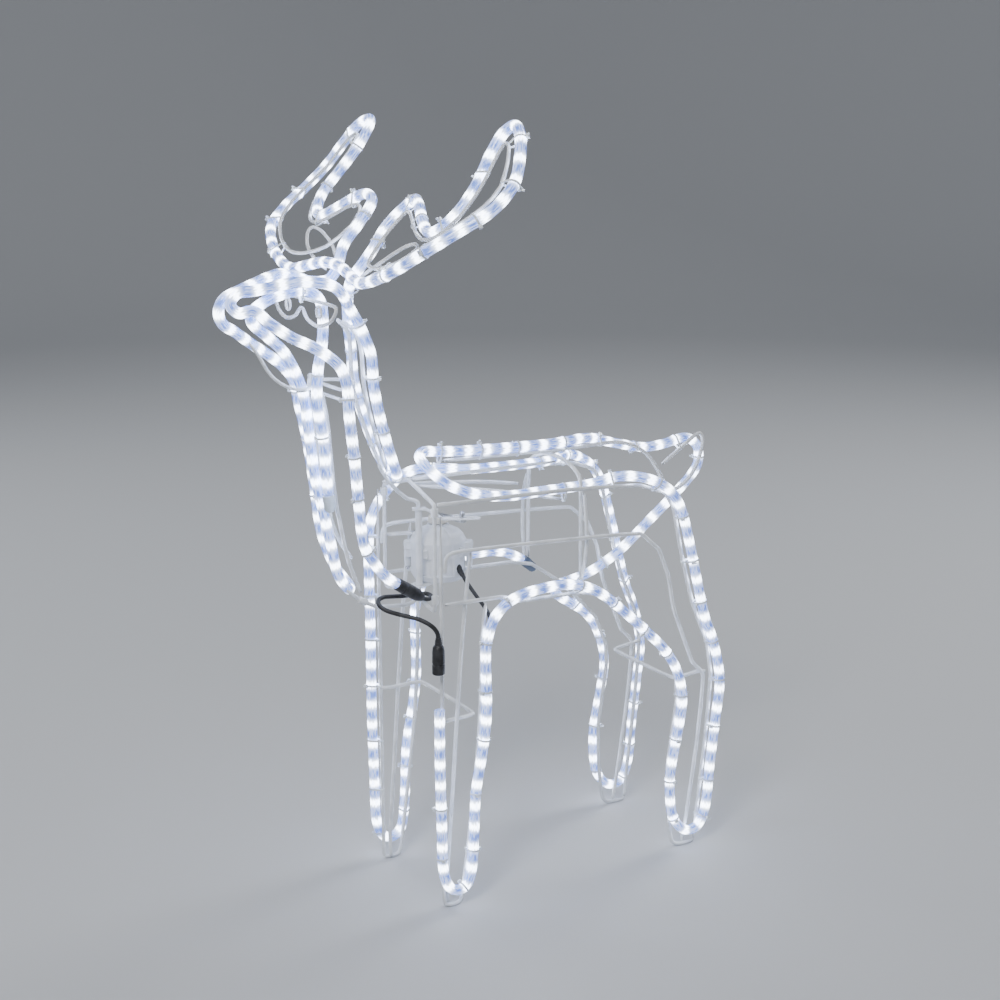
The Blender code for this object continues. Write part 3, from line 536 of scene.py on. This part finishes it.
# ------------------------------------------------------------------ cable ties
def tie_into(bm, a, ra, b, rb, t, lead_angle, tail):
    """One tie round two bars: a band, its head and its cut tail."""
    u = (b - a)
    u = (u - t * u.dot(t)).normalized()
    v = t.cross(u)
    b = a + u * (b - a).dot(u)
    half = t * (TIE_HALF_WIDTH * MM)
    count = 28
    inner = stadium_hull(a, ra + 0.1 * MM, b, rb + 0.1 * MM, u, v, count)
    outer = stadium_hull(a, ra + TIE_THICK * MM, b, rb + TIE_THICK * MM, u, v, count)
    rows = [[bm.verts.new(p + off) for p in loop] for loop, off in
            ((inner, -half), (outer, -half), (outer, half), (inner, half))]
    for k in range(count):
        n = (k + 1) % count
        for i in range(4):
            j = (i + 1) % 4
            bm.faces.new((rows[i][k], rows[i][n], rows[j][n], rows[j][k]))
    out = u * math.cos(lead_angle) + v * math.sin(lead_angle)
    tan = t.cross(out)
    seat = a + out * (ra + 0.9 * MM)
    block(bm, seat + out * 1.5 * MM, out, tan, t, 1.6, 2.4, 2.2)
    curl = out * 0.55 + tan * 0.85
    p, d = seat + out * 2.2 * MM, curl.normalized()
    segs = 4
    ring_prev = None
    for k in range(segs + 1):
        w = d.cross(t).normalized()
        ring = [bm.verts.new(p + w * (s * 0.6 * MM) + t * (q * 1.15 * MM)) for s, q in
                ((-1, -1), (1, -1), (1, 1), (-1, 1))]
        if ring_prev:
            for i in range(4):
                j = (i + 1) % 4
                bm.faces.new((ring_prev[i], ring_prev[j], ring[j], ring[i]))
        else:
            bm.faces.new(ring)
        ring_prev = ring
        p = p + d * (tail / segs)
        d = (d + out * 0.12).normalized()
    bm.faces.new(ring_prev)


def block(bm, centre, x, y, z, hx, hy, hz):
    """Small box with half sizes in mm along three directions."""
    verts = []
    for sz in (-1, 1):
        for sx, sy in ((-1, -1), (1, -1), (1, 1), (-1, 1)):
            verts.append(bm.verts.new(centre + (x * (sx * hx) + y * (sy * hy) + z * (sz * hz)) * MM))
    for ids in ((0, 1, 2, 3), (4, 5, 6, 7), (0, 1, 5, 4), (1, 2, 6, 5), (2, 3, 7, 6), (3, 0, 4, 7)):
        bm.faces.new([verts[i] for i in ids])


def wire_tree(body):
    verts, faces = [], []
    for node in WIRE_NODES:
        if NODES[node]["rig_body"] != body:
            continue
        mesh = NODES[node].data
        base = len(verts)
        verts += [v.co.copy() for v in mesh.vertices]
        faces += [[base + i for i in poly.vertices] for poly in mesh.polygons]
    return BVHTree.FromPolygons(verts, faces)


def add_ties(name, path, body):
    tree = wire_tree(body)
    bm = bmesh.new()
    since = 20.0
    for i in range(8, len(path) - 8):
        since += (path[i] - path[i - 1]).length / MM
        if since < TIE_PITCH:
            continue
        hit, normal, _, gap = tree.find_nearest(path[i])
        if hit is None or gap > TIE_REACH:
            continue
        t = (path[i + 1] - path[i - 1]).normalized()
        centre = hit - normal * (2.2 * MM)
        if abs((centre - path[i]).normalized().dot(t)) > 0.5:
            continue
        angle = rng.choice((math.pi * 0.5, math.pi * 1.5, math.pi)) + rng.uniform(-0.5, 0.5)
        tie_into(bm, path[i], ROPE_R * MM, centre, WIRE_R * MM, t, angle, rng.uniform(2.5, 5.5) * MM)
        since = rng.uniform(-9, 9)
    obj = add_mesh(name, bm, TIE, body, True, math.radians(40))
    return obj


add_ties("neck_cable_ties", neck_path, "neck")
add_ties("body_cable_ties", body_path, "frame")


# ------------------------------------------------------------------ gear motor
MX, MY = -20.0, 58.0
MOTOR_R = 35.0
MOTOR_BOTTOM, MOTOR_SEAM, MOTOR_TOP = 404.0, 442.0, 474.0
LUG_TURN = math.radians(60)


def lathe(name, heights, radius_of, mat, body, segments=160, centre=(MX, MY)):
    """Closed round moulding whose radius may change with angle and height."""
    bm = bmesh.new()
    rings = []
    for z in heights:
        ring = []
        for k in range(segments):
            a = 2 * math.pi * k / segments
            r = radius_of(a, z)
            ring.append(bm.verts.new(place((centre[0] + r * math.cos(a), centre[1] + r * math.sin(a), z))))
        rings.append(ring)
    for lo, hi in zip(rings, rings[1:]):
        for k in range(segments):
            n = (k + 1) % segments
            bm.faces.new((lo[k], lo[n], hi[n], hi[k]))
    bm.faces.new(rings[0])
    bm.faces.new(rings[-1])
    return add_mesh(name, bm, mat, body, True, math.radians(32))


def turn_gap(a, b):
    return abs((a - b + math.pi) % (2 * math.pi) - math.pi)


def lug(a, z, low, high):
    """Extra radius of the two screw lugs on the sides."""
    if not low <= z <= high:
        return 0.0
    away = min(turn_gap(a, LUG_TURN), turn_gap(a, LUG_TURN + math.pi))
    return 8.6 * min(1.0, max(0.0, (0.30 - away) / 0.10))


def upper_radius(a, z):
    shoulder = [(MOTOR_SEAM + 0.3, MOTOR_R), (MOTOR_SEAM + 12, MOTOR_R), (MOTOR_SEAM + 15, 33.6),
                (MOTOR_SEAM + 20, 31.0), (MOTOR_TOP - 8, 27.0), (MOTOR_TOP - 2, 14.4),
                (MOTOR_TOP + 1, 13.2)]
    r = shoulder[-1][1]
    for (z0, r0), (z1, r1) in zip(shoulder, shoulder[1:]):
        if z0 <= z <= z1:
            r = r0 + (r1 - r0) * (z - z0) / (z1 - z0)
            break
    # flat ribs down the shoulder
    on_shoulder = MOTOR_SEAM + 3 < z < MOTOR_TOP - 2
    near_rib = min(turn_gap(a, math.pi * q / 3) for q in range(6)) < 0.05
    rib = 0.7 if on_shoulder and near_rib else 0.0
    return r + rib + lug(a, z, 0, MOTOR_SEAM + 9.2)


PANEL_DEPTH = 2.6
# recessed panels of the lower half: direction and half width, radians
PANELS = [(-1.05, 0.30), (-0.25, 0.36), (0.95, 0.30), (2.1, 0.30), (3.9, 0.26)]


def lower_radius(a, z):
    r = MOTOR_R
    if z < MOTOR_BOTTOM + 7:
        r = 31.0 + 4.0 * (z - MOTOR_BOTTOM) / 7.0
    for centre, half in PANELS:
        if turn_gap(a, centre) < half and MOTOR_BOTTOM + 9 < z < MOTOR_SEAM - 7:
            r -= PANEL_DEPTH
    return r + lug(a, z, MOTOR_SEAM - 9.2, 1e9)


def lined(stops, step):
    """Heights from the first stop to the last, each stop doubled so that steps stay crisp."""
    out = [stops[0]]
    for lo, hi in zip(stops, stops[1:]):
        count = max(1, round((hi - lo) / step))
        out += [lo + 0.15] + [lo + (hi - lo) * k / count for k in range(1, count)] + [hi - 0.15]
    out.append(stops[-1])
    return sorted(set(round(z, 3) for z in out))


def add_motor():
    upper = lathe("motor_upper_moulding", lined([
        MOTOR_SEAM + 0.3, MOTOR_SEAM + 3, MOTOR_SEAM + 9.3, MOTOR_SEAM + 12, MOTOR_TOP - 8, MOTOR_TOP - 2,
        MOTOR_TOP + 1], 2.0), upper_radius, HOUSING, "frame")
    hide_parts("motor_cover")
    lower = lathe("motor_lower_moulding", lined([
        MOTOR_BOTTOM, MOTOR_BOTTOM + 7, MOTOR_BOTTOM + 9, MOTOR_SEAM - 9.2, MOTOR_SEAM - 7,
        MOTOR_SEAM - 0.3], 2.0), lower_radius, HOUSING, "frame")
    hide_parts("motor_base")
    # seam lip between the two halves
    lip = lathe("motor_seam_lip", [MOTOR_SEAM - 0.9, MOTOR_SEAM - 0.8, MOTOR_SEAM + 0.8, MOTOR_SEAM + 0.9],
                lambda a, z: MOTOR_R + 0.5, HOUSING, "frame", 120)
    # screw posts, screws and clips
    for tag, s in (("rear", 1), ("front", -1)):
        x = MX + s * 39.5 * math.cos(LUG_TURN)
        y = MY + s * 39.5 * math.sin(LUG_TURN)
        post = turned("motor_screw_post_" + tag, [((x, y, 419), 3.2), ((x, y, 419.6), 3.9),
                                                  ((x, y, 433), 4.2), ((x, y, 451.8), 4.2),
                                                  ((x, y, 452.2), 3.6)], HOUSING, "frame", 28)
        screw = turned("motor_screw_" + tag, [((x, y, 419.2), 0.6), ((x, y, 418.2), 0.9),
                                              ((x, y, 417.6), 2.4), ((x, y, 416.8), 2.9),
                                              ((x, y, 415.4), 2.9), ((x, y, 414.8), 2.2)], STEEL, "frame", 24)
    bm = bmesh.new()
    for a in (-0.95, 0.42, 2.3, 3.3):
        out = Vector((math.cos(a), math.sin(a), 0))
        tan = Vector((-out.y, out.x, 0))
        up = Vector((0, 0, 1))
        c = place((MX, MY, MOTOR_SEAM)) + out * (36.4 * MM)
        block(bm, c, out, tan, up, 1.2, 3.2, 6.0)
        block(bm, c + out * 1.4 * MM + up * 4.4 * MM, out, tan, up, 0.9, 2.6, 1.1)
        block(bm, c + out * 1.0 * MM - up * 4.4 * MM, out, tan, up, 0.7, 2.6, 1.0)
    clips = add_mesh("motor_snap_clips", bm, HOUSING, "frame")
    bevel = clips.modifiers.new("soft", "BEVEL")
    bevel.width = 0.3 * MM
    bevel.segments = 2
    gland = turned("motor_lead_gland", [((9.0, 68.5, 424), 4.6), ((12.5, 69.6, 420.5), 4.6),
                                        ((13.5, 69.9, 419.4), 3.9), ((19, 71.6, 413), 3.1)],
                   RUBBER, "frame", 20)


add_motor()


# ------------------------------------------------------------------ mouldings on the ropes
def add_ends():
    neck = turned("neck_sleeve_moulding", [
        ((50, -37.5, 425.6), 6.9), ((50, -36.9, 425.2), 7.7), ((50, -30, 420.7), 7.9),
        ((50, -29.6, 420.4), 7.3), ((50, -28.2, 419.5), 7.3), ((50, -27.8, 419.2), 8.0),
        ((50, -16, 411.6), 8.1), ((50, -9.5, 407.3), 7.6), ((50, -5, 404.4), 5.6), ((50, -2, 402.4), 3.6),
    ], RUBBER, "neck")
    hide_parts("neck_rope_sleeve")
    body = turned("body_sleeve_moulding", [
        ((95.2, -6, 318), 7.0), ((95.2, -6, 318.8), 7.8), ((95.2, -6, 330), 7.9), ((95.2, -6, 330.4), 7.3),
        ((95.2, -6, 332), 7.3), ((95.2, -6, 332.4), 7.9), ((95.2, -6, 347), 7.7), ((95.2, -6, 352), 7.0),
        ((95.2, -6, 355), 5.2), ((95.2, -6, 355.6), 4.5), ((95.2, -6, 358), 4.5), ((95.2, -6, 358.4), 4.1),
        ((95.2, -6, 361), 4.1), ((95.2, -6, 361.4), 3.7), ((95.2, -6, 364), 3.5),
    ], RUBBER, "frame")
    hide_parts("body_rope_sleeve")
    cap = turned("neck_cap_moulding", [
        ((9, -107.8, 537), 7.0), ((9, -107.7, 536.3), 7.6), ((9, -107.0, 529), 7.6),
        ((9, -106.9, 528.6), 7.1), ((9, -106.2, 521), 7.1), ((9, -105.9, 518), 6.2), ((9, -105.7, 516), 4.0),
    ], CLEAR_CAP, "neck")
    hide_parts("neck_rope_end_cap")
    smoke = turned("body_cap_moulding", [
        ((-94.6, 230.5, 384.6), 6.9), ((-94.6, 231, 384.2), 7.4), ((-94.6, 238, 378), 7.4),
        ((-94.6, 238.4, 377.6), 6.9), ((-94.6, 245, 371.9), 6.9), ((-94.6, 247.4, 369.9), 6.0),
        ((-94.6, 249, 368.5), 4.0),
    ], SMOKE_CAP, "frame")
    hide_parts("body_rope_end_cap")


add_ends()


# ------------------------------------------------------------------ small fittings
def add_fittings():
    """Second throat wire, collar on the lower neck arm, nut and screw of the drive."""
    wire = sweep("throat_wire_lower", [place(p) for p in catmull([
        (-56, -96, 655), (-30, -94, 654), (0, -93, 653.5), (30, -94, 654), (56, -96, 655)], 4)],
        THIN_R * MM, 10, WIRE, "neck")
    px, py = 25.0, 68.0
    nut = turned("drive_pin_nut", [((px, py, 494.0), 2.4), ((px, py, 494.2), 3.5), ((px, py, 496.0), 3.5),
                                   ((px, py, 496.5), 2.8), ((px, py, 498.2), 2.0)], STEEL, "output", 6)
    bar = turned("motor_bar_screw", [((-66, 46, 454.9), 3.4), ((-66, 46, 456.2), 3.2),
                                     ((-66, 46, 457.0), 1.8)],
                 STEEL, "frame", 20)
    collar = turned("neck_arm_collar", [((0, -66, 397.9), 3.2), ((0, -65, 397.1), 4.3),
                                        ((0, -55, 391.9), 4.3), ((0, -54, 391.4), 3.2)], WIRE, "neck", 20)


add_fittings()


# ------------------------------------------------------------------ CAD nodes that stay
KEPT = (
    (WIRE, ("hinge_sleeve_upper_L", "hinge_sleeve_upper_R", "hinge_sleeve_lower_L", "hinge_sleeve_lower_R",
            "motor_bar", "motor_plate", "pivot_post", "drive_lever")),
    (STEEL, ("crank_arm", "motor_can")),
    (CREAM, ("output_gear", "output_boss")),
)


def dress_nodes():
    for mat, names in KEPT:
        for name in names:
            mesh = NODES[name].data
            mesh.materials.clear()
            mesh.materials.append(mat)


dress_nodes()


# ------------------------------------------------------------------ floor and light
def add_stage():
    profile = [(0.0, 0.0), (5.0, 0.0)]
    for k in range(1, 9):
        a = math.pi / 2 * k / 8
        profile.append((5.0 + 2.0 * math.sin(a), 2.0 - 2.0 * math.cos(a)))
    profile.append((7.0, 2.6))
    bm = bmesh.new()
    count = 64
    centre = bm.verts.new((0, 0, 0))
    rings = []
    for r, z in profile[1:]:
        turns = [2 * math.pi * k / count for k in range(count)]
        rings.append([bm.verts.new((r * math.cos(a), r * math.sin(a), z)) for a in turns])
    for k in range(count):
        n = (k + 1) % count
        bm.faces.new((centre, rings[0][k], rings[0][n]))
        for lo, hi in zip(rings, rings[1:]):
            bm.faces.new((lo[k], hi[k], hi[n], lo[n]))
    data = bpy.data.meshes.new("studio_floor")
    bm.to_mesh(data)
    bm.free()
    data.shade_smooth()
    look = Look("studio_floor", (0.55, 0.56, 0.58), 0.8)
    data.materials.append(look.mat)
    floor = bpy.data.objects.new("studio_floor", data)
    bpy.context.scene.collection.objects.link(floor)


def add_light(name, at, target, size, power, colour=(1, 1, 1)):
    data = bpy.data.lights.new(name, "AREA")
    data.shape = "DISK"
    data.size = size
    data.energy = power
    data.color = colour
    lamp = bpy.data.objects.new(name, data)
    lamp.location = at
    lamp.rotation_euler = (Vector(target) - Vector(at)).to_track_quat("-Z", "Y").to_euler()
    bpy.context.scene.collection.objects.link(lamp)


add_stage()
add_light("key_light", (2.2, -2.4, 3.2), (0, 0, 0.5), 1.4, 105)
add_light("fill_light", (-2.8, -1.2, 2.2), (0, 0, 0.5), 2.0, 30, (0.92, 0.96, 1.0))
add_light("rim_light", (-0.6, 3.0, 2.8), (0, 0, 0.6), 1.4, 62, (0.95, 0.97, 1.0))
world = bpy.data.worlds.new("studio_world")
world.use_nodes = True
world.node_tree.nodes["Background"].inputs["Color"].default_value = (0.80, 0.84, 0.90, 1)
world.node_tree.nodes["Background"].inputs["Strength"].default_value = 0.32
bpy.context.scene.world = world
